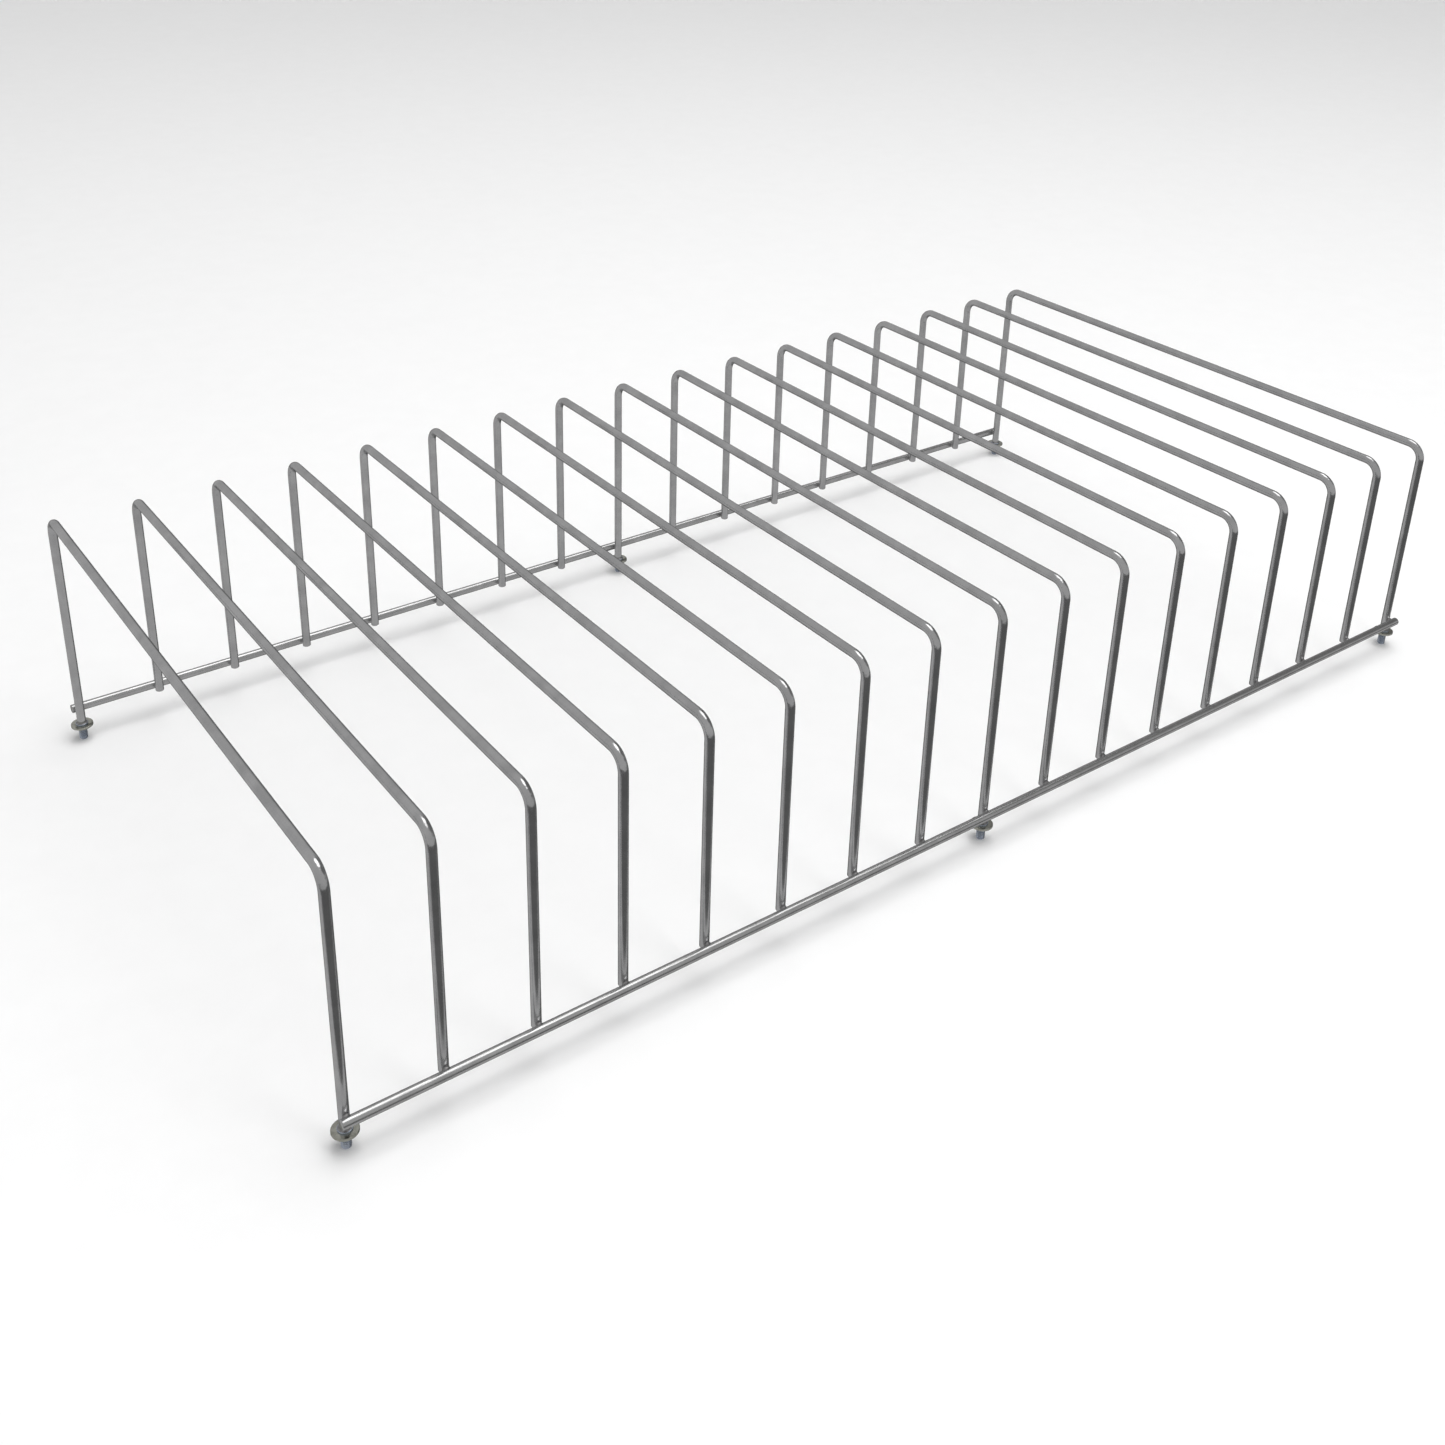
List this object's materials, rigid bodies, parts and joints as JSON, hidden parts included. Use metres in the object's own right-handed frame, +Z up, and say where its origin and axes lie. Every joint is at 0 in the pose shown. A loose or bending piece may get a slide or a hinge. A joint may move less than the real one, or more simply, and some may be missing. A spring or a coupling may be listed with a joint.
{
  "type": "wire divider rack",
  "caption": "Low welded wire rack: a row of upside-down U hoops on two straight rails, with threaded studs and washers underneath to bolt it to a shelf.",
  "frame": {"origin": "middle of the plane on which the six washers seat, between the four corner studs", "axes": "+X along the rails towards the right-hand end; +Y from front to rear; +Z up"},
  "size_m": [0.9758, 0.4916, 0.1886],
  "materials": {
    "hoop_wire": "bright drawn wire, chrome plated",
    "rail_wire": "bright drawn wire, chrome plated",
    "stud_zinc": "blue-white zinc plate",
    "washer_zinc": "dull zinc plate with a faint olive tint",
    "weld_metal": "plated weld, slightly rough"
  },
  "bodies": {
    "root": {"foot_stud_front_left": "stud_zinc", "foot_stud_rear_left": "stud_zinc", "foot_stud_front_middle": "stud_zinc", "foot_stud_rear_middle": "stud_zinc", "foot_stud_front_right": "stud_zinc", "foot_stud_rear_right": "stud_zinc", "hoop_01": "hoop_wire", "hoop_02": "hoop_wire", "hoop_03": "hoop_wire", "hoop_04": "hoop_wire", "hoop_05": "hoop_wire", "hoop_06": "hoop_wire", "hoop_07": "hoop_wire", "hoop_08": "hoop_wire", "hoop_09": "hoop_wire", "hoop_10": "hoop_wire", "hoop_11": "hoop_wire", "hoop_12": "hoop_wire", "hoop_13": "hoop_wire", "hoop_14": "hoop_wire", "hoop_15": "hoop_wire", "hoop_16": "hoop_wire", "hoop_17": "hoop_wire", "front_rail": "rail_wire", "rear_rail": "rail_wire", "foot_washer_front_left": "washer_zinc", "foot_washer_rear_left": "washer_zinc", "foot_washer_front_middle": "washer_zinc", "foot_washer_rear_middle": "washer_zinc", "foot_washer_front_right": "washer_zinc", "foot_washer_rear_right": "washer_zinc", "front_rail_welds": "weld_metal", "rear_rail_welds": "weld_metal", "foot_welds": "weld_metal"}
  },
  "joints": []
}
